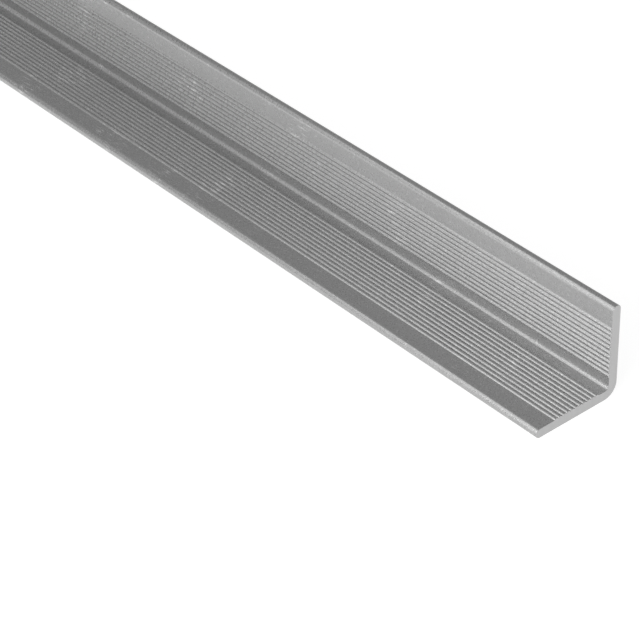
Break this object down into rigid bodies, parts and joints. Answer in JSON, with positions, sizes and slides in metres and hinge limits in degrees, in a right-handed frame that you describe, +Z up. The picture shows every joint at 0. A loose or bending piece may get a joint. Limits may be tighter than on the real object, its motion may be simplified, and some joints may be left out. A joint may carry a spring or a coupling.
{
  "type": "wall trim strip",
  "caption": "Straight length of equal-leg metal angle trim with a rounded bend, half-round free edges and fine lengthwise ribs on both inner faces.",
  "frame": {"origin": "middle of the bottom of the box round the strip, on the outer face of the lying leg", "axes": "+X along the strip, +Z up along the standing leg, whose outer face looks along +Y; the lying leg reaches out along -Y"},
  "size_m": [1, 0.025, 0.025],
  "materials": {
    "satin_aluminium": "satin, fine matt grain, silver grey"
  },
  "bodies": {
    "root": {"trim_strip": "satin_aluminium"}
  },
  "joints": []
}
